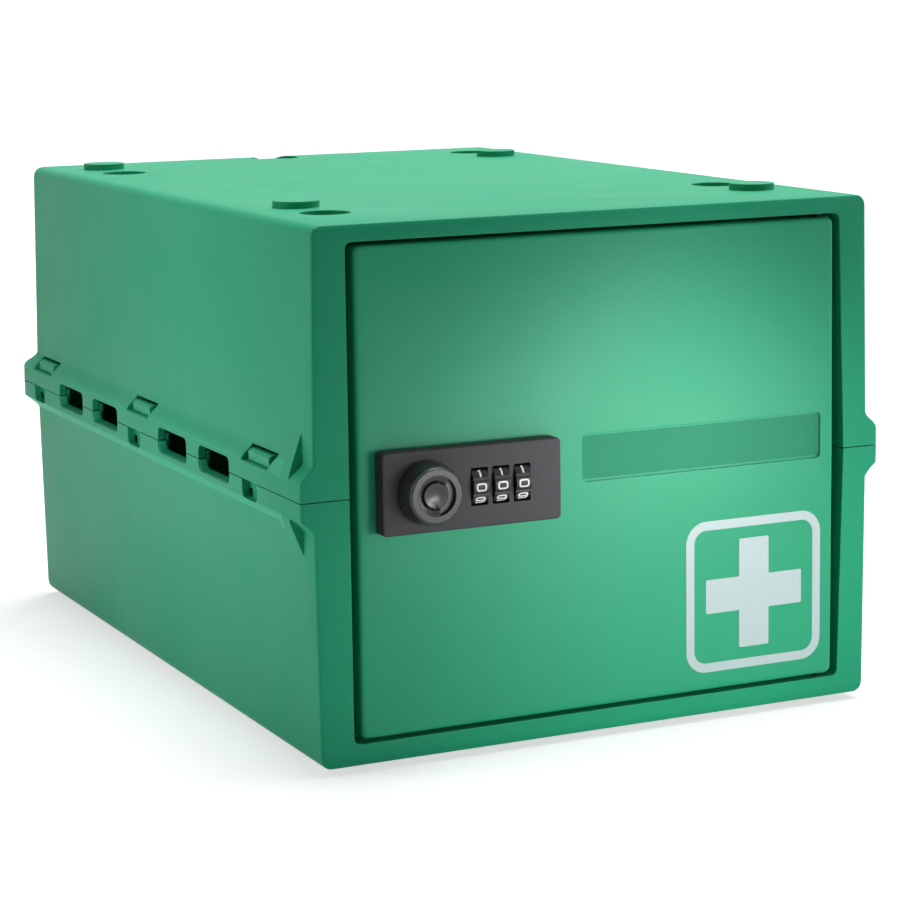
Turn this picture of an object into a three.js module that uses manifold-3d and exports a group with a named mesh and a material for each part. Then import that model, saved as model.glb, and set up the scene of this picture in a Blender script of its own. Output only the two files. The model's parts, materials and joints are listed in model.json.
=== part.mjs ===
// Medication lock box: two moulded half shells that clip together along a belt round the sides and back,
// an inset door that swings on two pins, and a knob and cam lock with three number dials.
// Millimetres, +Z up, front towards -Y. The pieces are drawn with the front face at y = 0 and the seam
// of the shells at z = 0, then the whole box is moved so that its origin is under its middle.

import * as THREE from 'three';
import { mergeVertices } from 'three/addons/utils/BufferGeometryUtils.js';
import Module from 'manifold-3d';

const wasm = await Module();
wasm.setup();

// Body shells
const bodyWidth = 198;
const bodyDepth = 287;
const bodyHeight = 167;
const draftShare = 0.013;
const wall = 2.6;
const frontWall = 3;
const topEdgeRadius = 3.5;
const frontEdgeRadius = 1;
const backCornerRadius = 5;
const innerFrontRadius = 1.5;
const seamGap = 0.3;
const clearance = 0.3;
const overrun = 1;

// Belt along the seam
const beltDepth = 4.2;
const upperBeltFlat = 5.8;
const upperBeltReach = 11.4;
const lowerBeltFlat = 5.9;
const lowerBeltReach = 10.4;
const lowerBeltEaseShare = 1.3;

// Seam lip inside the lower shell
const lipThickness = 1.2;
const lipHeight = 2.4;
const lipRoot = 3.2;

// Windows through the belt
const windowTop = 4.8;
const windowBottom = 4;
const windowCornerRadius = 2.6;
const windowBar = 11.6;
const windowClipBar = 10.55;

// Clips: an arm of the lower shell hooks over the sill of a notch in the upper shell
const frontClipInset = 38.5;
const backClipInset = 24.5;
const notchWidth = 22.5;
const notchTop = 10.8;
const armWidth = 17.5;
const armThickness = 2.2;
const armRoot = 8;
const hookReach = 1.1;
const hookHeight = 3.7;
const hookFace = 2.9;
const slotWidth = 13;
const slotDepth = 6.2;
const slotCornerRadius = 3;
const slotOffset = 4;

// Buttresses that stand on the belt behind the front face
const buttressFront = 9;
const upperButtressRise = 20.4;
const upperButtressTop = 5;
const upperButtressFoot = 14.5;
const upperButtressBow = 2.4;
const lowerButtressRise = 18.2;
const lowerButtressTop = 4;
const lowerButtressFoot = 9;
const lowerButtressBow = 5;
const buttressToe = 3.7;
const buttressRoot = 1.4;

// Stacking discs and pockets
const discRadius = 7.6;
const discHeight = 2.2;
const pocketRadius = 8.2;
const pocketDepth = 1.6;
const stackSideInset = 21.5;
const stackFrontInset = 38;
const stackBackInset = 30;
const stackPairPitch = 24;
const scoopRadius = 9.5;
const scoopDepth = 1;
const scoopInset = 11;

// Doorway
const frameLeft = 11.8;
const frameRight = 9.2;
const frameTop = 5.5;
const frameBottom = 6.8;
const openingTaper = 2.1;
const openingCornerRadius = 2.4;
const jambWall = 2.2;
const jambDepth = 12.4;
const ledgeReach = 4.6;
const ledgeThickness = 2.8;
const ledgeCornerRadius = 3;

// Door
const doorGapLock = 2.7;
const doorGapHinge = 2.1;
const doorGapEnds = 1.2;
const doorPlate = 2.6;
const doorSkirt = 2.2;
const doorDepth = 9.3;
const doorCornerRadius = 2.6;
const doorEdgeRadius = 1.4;
const doorHingeBulge = 0.3;
const ribThickness = 1.6;
const ribDepth = 4.6;
const ribClear = 3;
const nameGap = 10.4;
const nameHeight = 15.2;
const nameRadius = 1.8;
const nameDepth = 0.8;
const nameInset = 4.9;
const nameRise = 5.3;

// Hinge pins
const hingeInset = 3.3;
const hingeDepth = 4;
const hingeBarrelRadius = 3.2;
const hingeBarrelLength = 12;
const pinRadius = 1.5;
const pinBuried = 9;
const pinClearance = 0.15;

// Lock housing
const lockHeight = 25.6;
const lockStandOut = 6;
const lockInset = 5.7;
const lockRise = 1.1;
const lockCornerRadius = 1.6;
const lockEdgeRadius = 0.7;
const bezelFace = 2;
const bezelLap = 1.4;
const bezelWall = 1.5;
const caseFlangeLap = 1.8;
const caseFlange = 1.8;
const caseWall = 1.5;
const caseBack = 12.6;
const postRadius = 2.7;
const postInset = 3.1;
const columnRadius = 3.3;
const screwRadius = 1.1;
const screwHeadRadius = 2.3;
const screwHeadHeight = 1.5;
const screwBite = 5;

// Number dials
const dialRadius = 7.1;
const dialWidth = 5.2;
const dialPitch = 7.3;
const dialInset = 13.65;
const dialStandOut = 1.7;
const dialBore = 3.2;
const dialGrooveRadius = 0.75;
const dialGrooveDepth = 0.3;
const dialWindowWidth = 5.8;
const dialWindowHeight = 11.8;
const dialWindowRadius = 0.5;
const spindleRadius = 1.5;
const bearingThickness = 1.6;
const bearingGap = 2.4;
const bearingHalfHeight = 5;
const sleeveWall = 1.2;
const sleeveOverhang = 0.7;
const sleeveGate = 1.4;
const springThickness = 0.4;
const springFinger = 3.4;
const springFoot = 2.6;
const springReach = 7.6;

// Knob, spindle and cam
const knobInset = 14.4;
const knobDialGap = 17.95;
const knobRadius = 9.9;
const knobFaceRadius = 8.8;
const knobStandOut = 14;
const knobSkirt = 1.8;
const knobChamfer = 0.6;
const knobDishRadius = 6.3;
const knobDishDepth = 1.6;
const knobDishSlope = 0.3;
const knobBowRise = 1.3;
const knobBowLip = 0.3;
const knobBowFrom = 0.34 * Math.PI;
const knobBowTo = 1.5 * Math.PI;
const knobStemRadius = 5.2;
const knobStemLength = 3.1;
const capRadius = 4.1;
const capRise = 0.9;
const capHollow = 0.6;
const capSeat = 1.3;
const capMarkWidth = 0.8;
const capMarkLength = 1.2;
const capMarkDepth = 0.6;
const shankRadius = 3.3;
const shankBury = 4;
const squareSize = 5;
const camThickness = 2.2;
const camReach = 28.6;
const camWidth = 11;
const camHubRadius = 7;
const camGap = 0.3;
const camTipRadius = 2.5;
const washerRadius = 4.8;
const washerThickness = 0.8;
const camScrewRadius = 1.7;
const camScrewLength = 7;
const camScrewHeadRadius = 3.6;
const camScrewHeadHeight = 1.8;
const camScrewSlotWidth = 0.9;
const camScrewSlotDepth = 0.8;

// Counts of facets and of repeats
const cornerSteps = 4;
const edgeSteps = 4;
const beltSteps = 5;
const roundSteps = 14;
const fineRoundSteps = 20;
const knobSteps = 48;
const dialDigits = 10;
const dialCount = 3;

// Values that follow from the sizes above
const halfWidth = bodyWidth / 2;
const halfHeight = bodyHeight / 2;
const footHeight = discHeight;
const openingLeft = frameLeft - halfWidth;
const openingRight = halfWidth - frameRight;
const openingTop = halfHeight - frameTop;
const openingBottom = frameBottom - halfHeight;
const doorLeft = openingLeft + doorGapLock;
const doorRight = openingRight - openingTaper - doorGapHinge;
const doorTop = openingTop - doorGapEnds;
const doorBottom = openingBottom + doorGapEnds;
const hingeX = doorRight - hingeInset;
const lockLeft = doorLeft + lockInset;
const lockRight = lockLeft + knobInset + knobDialGap + dialPitch * (dialCount - 1) + dialInset;
const lockTop = lockRise + lockHeight / 2;
const lockBottom = lockRise - lockHeight / 2;
const bezelBack = lockStandOut - bezelFace;
const holeLeft = lockLeft + bezelLap;
const holeRight = lockRight - bezelLap;
const holeTop = lockTop - bezelLap;
const holeBottom = lockBottom + bezelLap;
const caseFront = doorPlate + clearance;
const dialAxisY = dialRadius - dialStandOut - lockStandOut;
const knobX = lockLeft + knobInset;
const dialsMiddle = lockRight - dialInset - dialPitch * (dialCount - 1) / 2;
const clipPitch = (bodyDepth - frontClipInset - backClipInset) / 2;
const clipMiddle = frontClipInset + clipPitch;
const windowPitch = (clipPitch - notchWidth + windowBar) / 2 - windowClipBar;
const windowWidth = windowPitch - windowBar;
const camFront = caseBack + camGap;
const camBack = camFront + camThickness;

const upperHalf = {
  side: 1,
  beltFlat: upperBeltFlat,
  beltReach: upperBeltReach,
  buttress: {
    rise: upperButtressRise,
    top: upperButtressTop,
    foot: upperButtressFoot,
    bow: upperButtressBow,
  },
  fade: (share) => (1 + Math.cos(Math.PI * share)) / 2,
};
const lowerHalf = {
  side: -1,
  beltFlat: lowerBeltFlat,
  beltReach: lowerBeltReach,
  buttress: {
    rise: lowerButtressRise,
    top: lowerButtressTop,
    foot: lowerButtressFoot,
    bow: lowerButtressBow,
  },
  fade: (share) => (1 - share) ** lowerBeltEaseShare,
};

// Where a local (u, v, w) frame goes: w runs along the named axis
const axisTurns = {
  x: new THREE.Matrix4().set(0, 0, 1, 0, 1, 0, 0, 0, 0, 1, 0, 0, 0, 0, 0, 1),
  y: new THREE.Matrix4().set(1, 0, 0, 0, 0, 0, 1, 0, 0, 1, 0, 0, 0, 0, 0, 1),
  z: new THREE.Matrix4(),
};

// Solids: a geometry becomes a closed solid with its faces pointing out

function signedVolume(positions, triangles) {
  const a = new THREE.Vector3();
  const b = new THREE.Vector3();
  const c = new THREE.Vector3();
  let volume = 0;
  for (let i = 0; i < triangles.length; i += 3) {
    a.fromArray(positions, triangles[i] * 3);
    b.fromArray(positions, triangles[i + 1] * 3);
    c.fromArray(positions, triangles[i + 2] * 3);
    volume += a.dot(b.cross(c)) / 6;
  }
  return volume;
}

function flipped(triangles) {
  const turned = triangles.slice();
  for (let i = 0; i < turned.length; i += 3) {
    [turned[i], turned[i + 1]] = [turned[i + 1], turned[i]];
  }
  return turned;
}

function solidFrom(positions, triangles) {
  const outward = signedVolume(positions, triangles) < 0 ? flipped(triangles) : triangles;
  return new wasm.Manifold(new wasm.Mesh({
    numProp: 3,
    vertProperties: Float32Array.from(positions),
    triVerts: Uint32Array.from(outward),
  }));
}

function toSolid(geometry, axis = 'z') {
  const bare = geometry.clone().applyMatrix4(axisTurns[axis]);
  bare.deleteAttribute('normal');
  bare.deleteAttribute('uv');
  const merged = mergeVertices(bare);
  const kept = [];
  for (let i = 0; i < merged.index.count; i += 3) {
    const [a, b, c] = merged.index.array.slice(i, i + 3);
    if (a !== b && b !== c && c !== a) kept.push(a, b, c);
  }
  return solidFrom(merged.attributes.position.array, kept);
}

function mirrored(solid) {
  const mesh = solid.getMesh();
  const positions = mesh.vertProperties.map((value, i) => (i % mesh.numProp === 0 ? -value : value));
  return solidFrom(positions, mesh.triVerts);
}

function joined(first, ...others) {
  return others.reduce((whole, solid) => whole.add(solid), first);
}

function cut(whole, ...tools) {
  return tools.reduce((rest, tool) => rest.subtract(tool), whole);
}

// Outlines: corners are [u, v, radius]

function outline(corners) {
  const shape = new THREE.Shape();
  const points = corners.map(([u, v]) => new THREE.Vector2(u, v));
  points.forEach((corner, i) => {
    const radius = corners[i][2] ?? 0;
    const before = points.at(i - 1).clone().sub(corner).normalize();
    const after = points[(i + 1) % points.length].clone().sub(corner).normalize();
    const reach = radius / Math.tan(Math.acos(before.dot(after)) / 2);
    const start = corner.clone().addScaledVector(before, reach);
    const end = corner.clone().addScaledVector(after, reach);
    if (i === 0) shape.moveTo(start.x, start.y);
    else shape.lineTo(start.x, start.y);
    if (radius > 0) shape.quadraticCurveTo(corner.x, corner.y, end.x, end.y);
  });
  shape.closePath();
  return shape;
}

function rectangle(left, right, bottom, top, radius = 0) {
  const corners = [[left, bottom], [right, bottom], [right, top], [left, top]];
  return outline(corners.map((corner) => [...corner, radius]));
}

function circle(u, v, radius) {
  return new THREE.Shape().absarc(u, v, radius, 0, Math.PI * 2);
}

// Forms

function extruded(shape, from, to, axis, steps = cornerSteps) {
  const settings = { depth: to - from, bevelEnabled: false, curveSegments: steps };
  return toSolid(new THREE.ExtrudeGeometry(shape, settings).translate(0, 0, from), axis);
}

function block(left, right, front, back, bottom, top) {
  return extruded(rectangle(left, right, front, back), bottom, top, 'z');
}

function rod(u, v, radius, from, to, axis, steps = roundSteps) {
  return extruded(circle(u, v, radius), from, to, axis, steps / 2);
}

function revolved(profile, x, z, steps = knobSteps) {
  const points = profile.map(([radius, y]) => new THREE.Vector2(radius, y));
  return toSolid(new THREE.LatheGeometry(points, steps).translate(x, 0, z));
}

function capTriangles(points, offset, facingUp) {
  return THREE.ShapeUtils.triangulateShape(points, []).flatMap(([a, b, c]) => {
    const edge = points[b].clone().sub(points[a]);
    const turnsLeft = edge.cross(points[c].clone().sub(points[a])) > 0;
    return (turnsLeft === facingUp ? [a, b, c] : [b, a, c]).map((index) => index + offset);
  });
}

function lofted(rings, axis) {
  const count = rings[0].points.length;
  const last = rings.length - 1;
  const positions = rings.flatMap(({ points, at }) => points.flatMap((point) => [point.x, point.y, at]));
  const triangles = capTriangles(rings[0].points, 0, false);
  triangles.push(...capTriangles(rings[last].points, last * count, true));
  for (let ring = 0; ring < last; ring += 1) {
    for (let i = 0; i < count; i += 1) {
      const a = ring * count + i;
      const b = ring * count + (i + 1) % count;
      triangles.push(a, b, b + count, a, b + count, a + count);
    }
  }
  const geometry = new THREE.BufferGeometry();
  geometry.setAttribute('position', new THREE.Float32BufferAttribute(positions, 3));
  geometry.setIndex(triangles);
  return toSolid(geometry, axis);
}

// A plate with a rounded front edge: its outline is drawn in by the edge radius and grows to full size
function edgedPlate(outlineAt, front, back, radius) {
  const rings = [];
  for (let step = 0; step <= edgeSteps; step += 1) {
    const angle = (Math.PI / 2) * (step / edgeSteps);
    const inset = radius * (1 - Math.sin(angle));
    const at = front + radius * (1 - Math.cos(angle));
    rings.push({ points: outlineAt(inset).getPoints(cornerSteps), at });
  }
  rings.push({ points: outlineAt(0).getPoints(cornerSteps), at: back });
  return lofted(rings.map(({ points, at }) => ({ points: points.slice(0, -1), at })), 'y');
}

// Body shells

function planRing(reach, front, back, frontRadius, backRadius) {
  const corners = [
    [frontRadius - reach, front + frontRadius, frontRadius, Math.PI],
    [reach - frontRadius, front + frontRadius, frontRadius, Math.PI * 1.5],
    [reach - backRadius, back - backRadius, backRadius, 0],
    [backRadius - reach, back - backRadius, backRadius, Math.PI / 2],
  ];
  return corners.flatMap(([x, y, radius, start]) => Array.from({ length: cornerSteps + 1 }, (_, step) => {
    const angle = start + (Math.PI / 2) * (step / cornerSteps);
    return new THREE.Vector2(x + radius * Math.cos(angle), y + radius * Math.sin(angle));
  }));
}

function beltStandOut(half, height) {
  const share = (height - half.beltFlat) / (half.beltReach - half.beltFlat);
  return beltDepth * half.fade(THREE.MathUtils.clamp(share, 0, 1));
}

function edgeInset(depth, radius) {
  if (depth >= radius) return 0;
  return radius - Math.sqrt(radius ** 2 - (radius - depth) ** 2);
}

// The body's plan at a height from the seam, drawn in by an inset from the outer skin
function bodyRing(half, height, skin) {
  const depth = skin.top - height;
  const rounded = edgeInset(depth, skin.edgeRadius);
  const grown = beltStandOut(half, height) - draftShare * height - skin.inset - rounded;
  const front = skin.front + edgeInset(depth, skin.frontEdgeRadius);
  const backRadius = Math.max(skin.backRadius - rounded, skin.frontRadius);
  const points = planRing(halfWidth + grown, front, bodyDepth + grown, skin.frontRadius, backRadius);
  return { points, at: half.side * height };
}

function bodyHeights(half, start, skin) {
  const heights = [start];
  for (let step = 0; step <= beltSteps; step += 1) {
    heights.push(half.beltFlat + (half.beltReach - half.beltFlat) * (step / beltSteps));
  }
  for (let step = 0; step <= edgeSteps; step += 1) {
    const angle = (Math.PI / 2) * (step / edgeSteps);
    heights.push(skin.top - skin.edgeRadius * (1 - Math.sin(angle)));
  }
  return heights;
}

const outerSkin = {
  inset: 0,
  front: 0,
  top: halfHeight,
  edgeRadius: topEdgeRadius,
  frontEdgeRadius,
  frontRadius: frontEdgeRadius,
  backRadius: backCornerRadius,
};

const innerSkin = {
  inset: wall,
  front: frontWall,
  top: halfHeight - wall,
  edgeRadius: topEdgeRadius - wall,
  frontEdgeRadius: topEdgeRadius - wall,
  frontRadius: innerFrontRadius,
  backRadius: backCornerRadius - wall,
};

function bodyForm(half, start, skin) {
  return lofted(bodyHeights(half, start, skin).map((height) => bodyRing(half, height, skin)), 'z');
}

function halfSpace(half) {
  const reach = bodyWidth;
  const near = half.side * seamGap / 2;
  const far = half.side * bodyHeight;
  return block(-reach, reach, -bodyDepth, bodyDepth * 2, Math.min(near, far), Math.max(near, far));
}

function openingOutline(grow) {
  const radius = openingCornerRadius + grow;
  const right = openingRight - openingTaper + grow;
  return outline([
    [openingLeft - grow, openingBottom - grow, radius],
    [right, openingBottom - grow, radius],
    [openingRight + grow, 0, 0],
    [right, openingTop + grow, radius],
    [openingLeft - grow, openingTop + grow, radius],
  ]);
}

// The jamb lines the doorway, and its ledge stops the door and is what the cam catches behind
function doorFrame() {
  const jambTop = halfHeight - wall / 2;
  const jambOuter = rectangle(openingLeft - jambWall, openingRight + jambWall, -jambTop, jambTop);
  const jamb = extruded(jambOuter, frontWall / 2, jambDepth, 'y');
  const doorway = extruded(openingOutline(0), -overrun, jambDepth - ledgeThickness, 'y');
  const ledgeFreeEdge = rectangle(
    openingLeft + ledgeReach,
    openingRight,
    openingBottom + ledgeReach,
    openingTop - ledgeReach,
    ledgeCornerRadius,
  );
  const hingeSide = block(
    hingeX - hingeInset,
    openingRight,
    -overrun,
    jambDepth + overrun,
    openingBottom,
    openingTop,
  );
  const passage = joined(extruded(ledgeFreeEdge, -overrun, jambDepth + overrun, 'y'), hingeSide)
    .intersect(extruded(openingOutline(0), -overrun, jambDepth + overrun, 'y'));
  return { jamb, hollow: joined(doorway, passage) };
}

function hingeSocket(half) {
  const from = half.side > 0 ? openingTop - overrun : 0;
  const mouth = half.side > 0 ? openingTop : -openingBottom;
  const deep = halfHeight - wall;
  const radius = pinRadius + pinClearance;
  const near = half.side * Math.max(from, mouth - overrun);
  const far = half.side * deep;
  return rod(hingeX, hingeDepth, radius, Math.min(near, far), Math.max(near, far), 'z');
}

// Each half has discs at one end of a stacking pair and pockets at the other, swapped from side to side,
// so that a box stands in the box below it
function stackingPlaces(half) {
  const offset = half.side * (halfWidth - stackSideInset);
  return [stackFrontInset, bodyDepth - stackBackInset - stackPairPitch].flatMap((near) => {
    const far = near + stackPairPitch;
    return [{ x: -offset, discY: far, pocketY: near }, { x: offset, discY: near, pocketY: far }];
  });
}

function layer(half, x, y, radius, low, high) {
  const ends = [half.side * low, half.side * high];
  return rod(x, y, radius, Math.min(...ends), Math.max(...ends), 'z', fineRoundSteps);
}

function addStacking(shell, half) {
  let whole = shell;
  stackingPlaces(half).forEach(({ x, discY, pocketY }) => {
    const floor = halfHeight - pocketDepth;
    const backing = layer(half, x, pocketY, pocketRadius + wall, floor - wall, halfHeight - wall / 2);
    const disc = layer(half, x, discY, discRadius, halfHeight - wall / 2, halfHeight + discHeight);
    const pocket = layer(half, x, pocketY, pocketRadius, floor, halfHeight + overrun);
    whole = cut(joined(whole, backing, disc), pocket);
  });
  return whole;
}

function windowOutline(middle) {
  return rectangle(
    middle - windowWidth / 2,
    middle + windowWidth / 2,
    -windowBottom,
    windowTop,
    windowCornerRadius,
  );
}

function beltWindows() {
  const reach = halfWidth + beltDepth + overrun;
  return [-1, 1].flatMap((side) => [-1, 1].map((step) => {
    const offset = (side * clipPitch + step * windowPitch) / 2;
    return extruded(windowOutline(clipMiddle + offset), -reach, reach, 'x');
  }));
}

function clipPlaces() {
  return [-1, 0, 1].map((step) => clipMiddle + step * clipPitch);
}

// The clip arm stands inside the belt, and its hook lies over the sill of the notch
function clipArm(middle) {
  const armInner = halfWidth + beltDepth - wall - clearance - armThickness;
  const armOuter = armInner + armThickness;
  const hookUnder = upperBeltFlat + clearance;
  const hookTop = hookUnder + hookHeight;
  const profile = outline([
    [armInner, -armRoot],
    [armOuter, -armRoot],
    [armOuter, hookUnder],
    [armOuter + hookReach, hookUnder],
    [armOuter + hookReach, hookUnder + hookFace],
    [armOuter, hookTop],
    [armInner, hookTop],
  ]);
  return extruded(profile, middle - armWidth / 2, middle + armWidth / 2, 'y');
}

function clipNotch(middle) {
  const profile = rectangle(
    halfWidth - wall - overrun,
    halfWidth + beltDepth + overrun,
    upperBeltFlat,
    notchTop,
  );
  return extruded(profile, middle - notchWidth / 2, middle + notchWidth / 2, 'y');
}

function clipSlot(middle) {
  const left = middle + slotOffset - slotWidth / 2;
  const right = left + slotWidth;
  const profile = outline([
    [left, -slotDepth, slotCornerRadius],
    [right, -slotDepth, slotCornerRadius],
    [right, overrun],
    [left, overrun],
  ]);
  const inner = halfWidth + beltDepth - wall - clearance / 2;
  return extruded(profile, inner, halfWidth + beltDepth + overrun, 'x');
}

// A buttress is its side outline cut by a wedge that leans from the belt's outer face to the wall.
// Its rear edge is bowed: it falls steeply from the top and then runs out to the toe
function buttress(side, base, { rise, top, foot, bow }) {
  const form = new THREE.Shape();
  form.moveTo(buttressFront, side * base);
  form.lineTo(buttressFront, side * rise);
  form.lineTo(buttressFront + top, side * rise);
  form.quadraticCurveTo(
    buttressFront + top + bow,
    side * (base + buttressToe + bow),
    buttressFront + foot,
    side * (base + buttressToe),
  );
  form.lineTo(buttressFront + foot, side * base);
  form.closePath();
  const wallX = halfWidth - wall / 2;
  const beltX = halfWidth + beltDepth;
  const wedge = outline([
    [wallX, side * (base - buttressRoot)],
    [beltX, side * (base - buttressRoot)],
    [beltX, side * (base + buttressRoot)],
    [halfWidth - draftShare * rise, side * rise],
    [wallX, side * rise],
  ]);
  return extruded(form, wallX, beltX, 'x').intersect(
    extruded(wedge, buttressFront - overrun, buttressFront + foot + overrun, 'y'),
  );
}

function bothSides(solid) {
  return joined(solid, mirrored(solid));
}

function seamLip() {
  const behindFrame = jambDepth + lipRoot;
  const ring = (inset, from, to) => {
    const skin = { ...innerSkin, inset: wall + inset };
    const points = bodyRing(lowerHalf, 0, skin).points;
    return lofted([{ points, at: from }, { points, at: to }], 'z');
  };
  const inner = ring(clearance + lipThickness, -lipRoot - overrun, lipHeight + overrun);
  const foot = ring(-clearance, -lipRoot, -clearance * 2);
  const stem = ring(clearance, -lipRoot, lipHeight);
  const front = block(-bodyWidth, bodyWidth, -overrun, behindFrame, -halfHeight, halfHeight);
  return cut(joined(foot, stem), inner, front);
}

function emptyShell(half) {
  const start = seamGap / 2;
  const hollow = bodyForm(half, start - overrun, innerSkin);
  const { jamb, hollow: doorway } = doorFrame();
  const frame = cut(jamb, doorway).intersect(halfSpace(half));
  const skin = cut(bodyForm(half, start, outerSkin), hollow, doorway);
  return cut(joined(skin, frame), hingeSocket(half));
}

function upperShell() {
  const scoop = layer(
    upperHalf,
    0,
    bodyDepth - scoopInset,
    scoopRadius,
    halfHeight - scoopDepth,
    halfHeight + overrun,
  );
  const notches = clipPlaces().map((middle) => bothSides(clipNotch(middle)));
  const fins = bothSides(buttress(upperHalf.side, upperHalf.beltFlat, upperHalf.buttress));
  const shell = joined(addStacking(emptyShell(upperHalf), upperHalf), fins);
  return cut(shell, scoop, ...beltWindows(), ...notches);
}

function lowerShell() {
  const arms = clipPlaces().map((middle) => bothSides(clipArm(middle)));
  const slots = clipPlaces().map((middle) => bothSides(clipSlot(middle)));
  const fins = bothSides(buttress(lowerHalf.side, lowerHalf.beltFlat, lowerHalf.buttress));
  const shell = joined(addStacking(emptyShell(lowerHalf), lowerHalf), fins, seamLip());
  return cut(joined(shell, ...arms), ...beltWindows(), ...slots);
}

// Door

function doorOutline(inset) {
  const radius = doorCornerRadius;
  return outline([
    [doorLeft + inset, doorBottom + inset, radius],
    [doorRight - inset, doorBottom + inset, radius],
    [doorRight + doorHingeBulge - inset, 0, 0],
    [doorRight - inset, doorTop - inset, radius],
    [doorLeft + inset, doorTop - inset, radius],
  ]);
}

function doorRib(left, right, bottom, top) {
  return block(left, right, doorPlate - overrun, doorPlate + ribDepth, bottom, top);
}

function doorRibs() {
  const above = lockTop + caseFlangeLap + ribClear;
  const below = lockBottom - caseFlangeLap - ribClear;
  const across = [above, below].map((z) => doorRib(doorLeft, doorRight, z, z + ribThickness));
  const clearOfLock = lockRight + caseFlangeLap + ribClear;
  const bay = (doorRight - clearOfLock) / 3;
  const full = [0, 1, 2].map((step) => {
    const x = clearOfLock + step * bay;
    return doorRib(x, x + ribThickness, doorBottom, doorTop);
  });
  const lockMiddle = (lockLeft + lockRight) / 2;
  const stub = [[above, doorTop], [doorBottom, below]].map(
    ([low, high]) => doorRib(lockMiddle, lockMiddle + ribThickness, low, high),
  );
  return [...across, ...full, ...stub];
}

function doorPanel() {
  const plate = edgedPlate(doorOutline, 0, doorDepth, doorEdgeRadius);
  const tray = extruded(doorOutline(doorSkirt), doorPlate, doorDepth + overrun, 'y');
  const inside = extruded(doorOutline(doorSkirt / 2), 0, doorDepth, 'y');
  const barrels = [[doorTop - hingeBarrelLength, doorTop], [doorBottom, doorBottom + hingeBarrelLength]].map(
    ([low, high]) => joined(
      rod(hingeX, hingeDepth, hingeBarrelRadius, low, high, 'z'),
      block(hingeX, doorRight - doorEdgeRadius, doorPlate / 2, hingeDepth + hingeBarrelRadius, low, high),
    ),
  );
  const pinHoles = [[doorTop - pinBuried - clearance, doorTop + overrun],
    [doorBottom - overrun, doorBottom + pinBuried + clearance]].map(
    ([low, high]) => rod(hingeX, hingeDepth, pinRadius + pinClearance, low, high, 'z'),
  );
  const nameRight = doorRight - nameInset;
  const nameTop = nameRise + nameHeight / 2;
  const namePocket = extruded(
    rectangle(lockRight + nameGap, nameRight, nameTop - nameHeight, nameTop, nameRadius),
    -overrun,
    nameDepth,
    'y',
  );
  const lockHole = extruded(rectangle(holeLeft, holeRight, holeBottom, holeTop), -overrun, doorDepth, 'y');
  const ribs = doorRibs().map((rib) => rib.intersect(inside));
  return cut(joined(cut(plate, tray), ...ribs, ...barrels), ...pinHoles, namePocket, lockHole);
}

function hingePin(half) {
  const doorEnd = half.side > 0 ? doorTop : -doorBottom;
  const inner = half.side * (doorEnd - pinBuried);
  const outer = half.side * (halfHeight - wall - clearance);
  return rod(hingeX, hingeDepth, pinRadius, Math.min(inner, outer), Math.max(inner, outer), 'z');
}

// Lock housing

function postPlaces() {
  const left = holeLeft + postInset;
  const right = holeRight - postInset;
  const low = holeBottom + postInset;
  const high = holeTop - postInset;
  return [[left, high], [right, high], [left, low], [right, low]];
}

function dialX(index) {
  return dialsMiddle + (index - (dialCount - 1) / 2) * dialPitch;
}

function dialWindow(index) {
  const left = dialX(index) - dialWindowWidth / 2;
  const right = dialX(index) + dialWindowWidth / 2;
  const shape = rectangle(
    left,
    right,
    lockRise - dialWindowHeight / 2,
    lockRise + dialWindowHeight / 2,
    dialWindowRadius,
  );
  const wheelRoom = rod(dialAxisY, lockRise, dialRadius + clearance, left, right, 'x');
  return joined(extruded(shape, -lockStandOut - overrun, -bezelBack + overrun, 'y'), wheelRoom);
}

function bezelOutline(inset) {
  return rectangle(
    lockLeft + inset,
    lockRight - inset,
    lockBottom + inset,
    lockTop - inset,
    lockCornerRadius,
  );
}

function bearings() {
  const reach = dialPitch * (dialCount / 2) + bearingGap;
  return [dialsMiddle - reach, dialsMiddle + reach - bearingThickness].map((left) => block(
    left,
    left + bearingThickness,
    -bezelBack - overrun / 2,
    caseFront - clearance,
    lockRise - bearingHalfHeight,
    lockRise + bearingHalfHeight,
  ));
}

function lockBezel() {
  const plate = edgedPlate(bezelOutline, -lockStandOut, -clearance, lockEdgeRadius);
  const left = holeLeft + clearance;
  const right = holeRight - clearance;
  const low = holeBottom + clearance;
  const high = holeTop - clearance;
  const collar = extruded(rectangle(left, right, low, high), -bezelBack, doorPlate, 'y');
  const inside = rectangle(left + bezelWall, right - bezelWall, low + bezelWall, high - bezelWall);
  const hollow = extruded(inside, -bezelBack, doorPlate + overrun, 'y');
  const posts = postPlaces().map(([x, z]) => rod(x, z, postRadius, -bezelBack - overrun / 2, doorPlate, 'y'));
  const biteEnd = doorPlate - screwBite - clearance;
  const bites = postPlaces().map(
    ([x, z]) => rod(x, z, screwRadius + pinClearance, biteEnd, doorPlate + overrun, 'y'),
  );
  const dialWindows = Array.from({ length: dialCount }, (_, index) => dialWindow(index));
  const reach = halfWidth;
  const spindleHole = rod(dialAxisY, lockRise, spindleRadius + pinClearance, -reach, 0, 'x');
  const carriers = bearings().map((bearing) => cut(bearing, spindleHole));
  const knobHole = rod(
    knobX,
    lockRise,
    knobStemRadius + clearance,
    -lockStandOut - overrun,
    -bezelBack + overrun,
    'y',
    fineRoundSteps,
  );
  const body = joined(cut(joined(plate, collar), hollow), ...posts, ...carriers);
  return cut(body, ...bites, ...dialWindows, knobHole);
}

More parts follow.
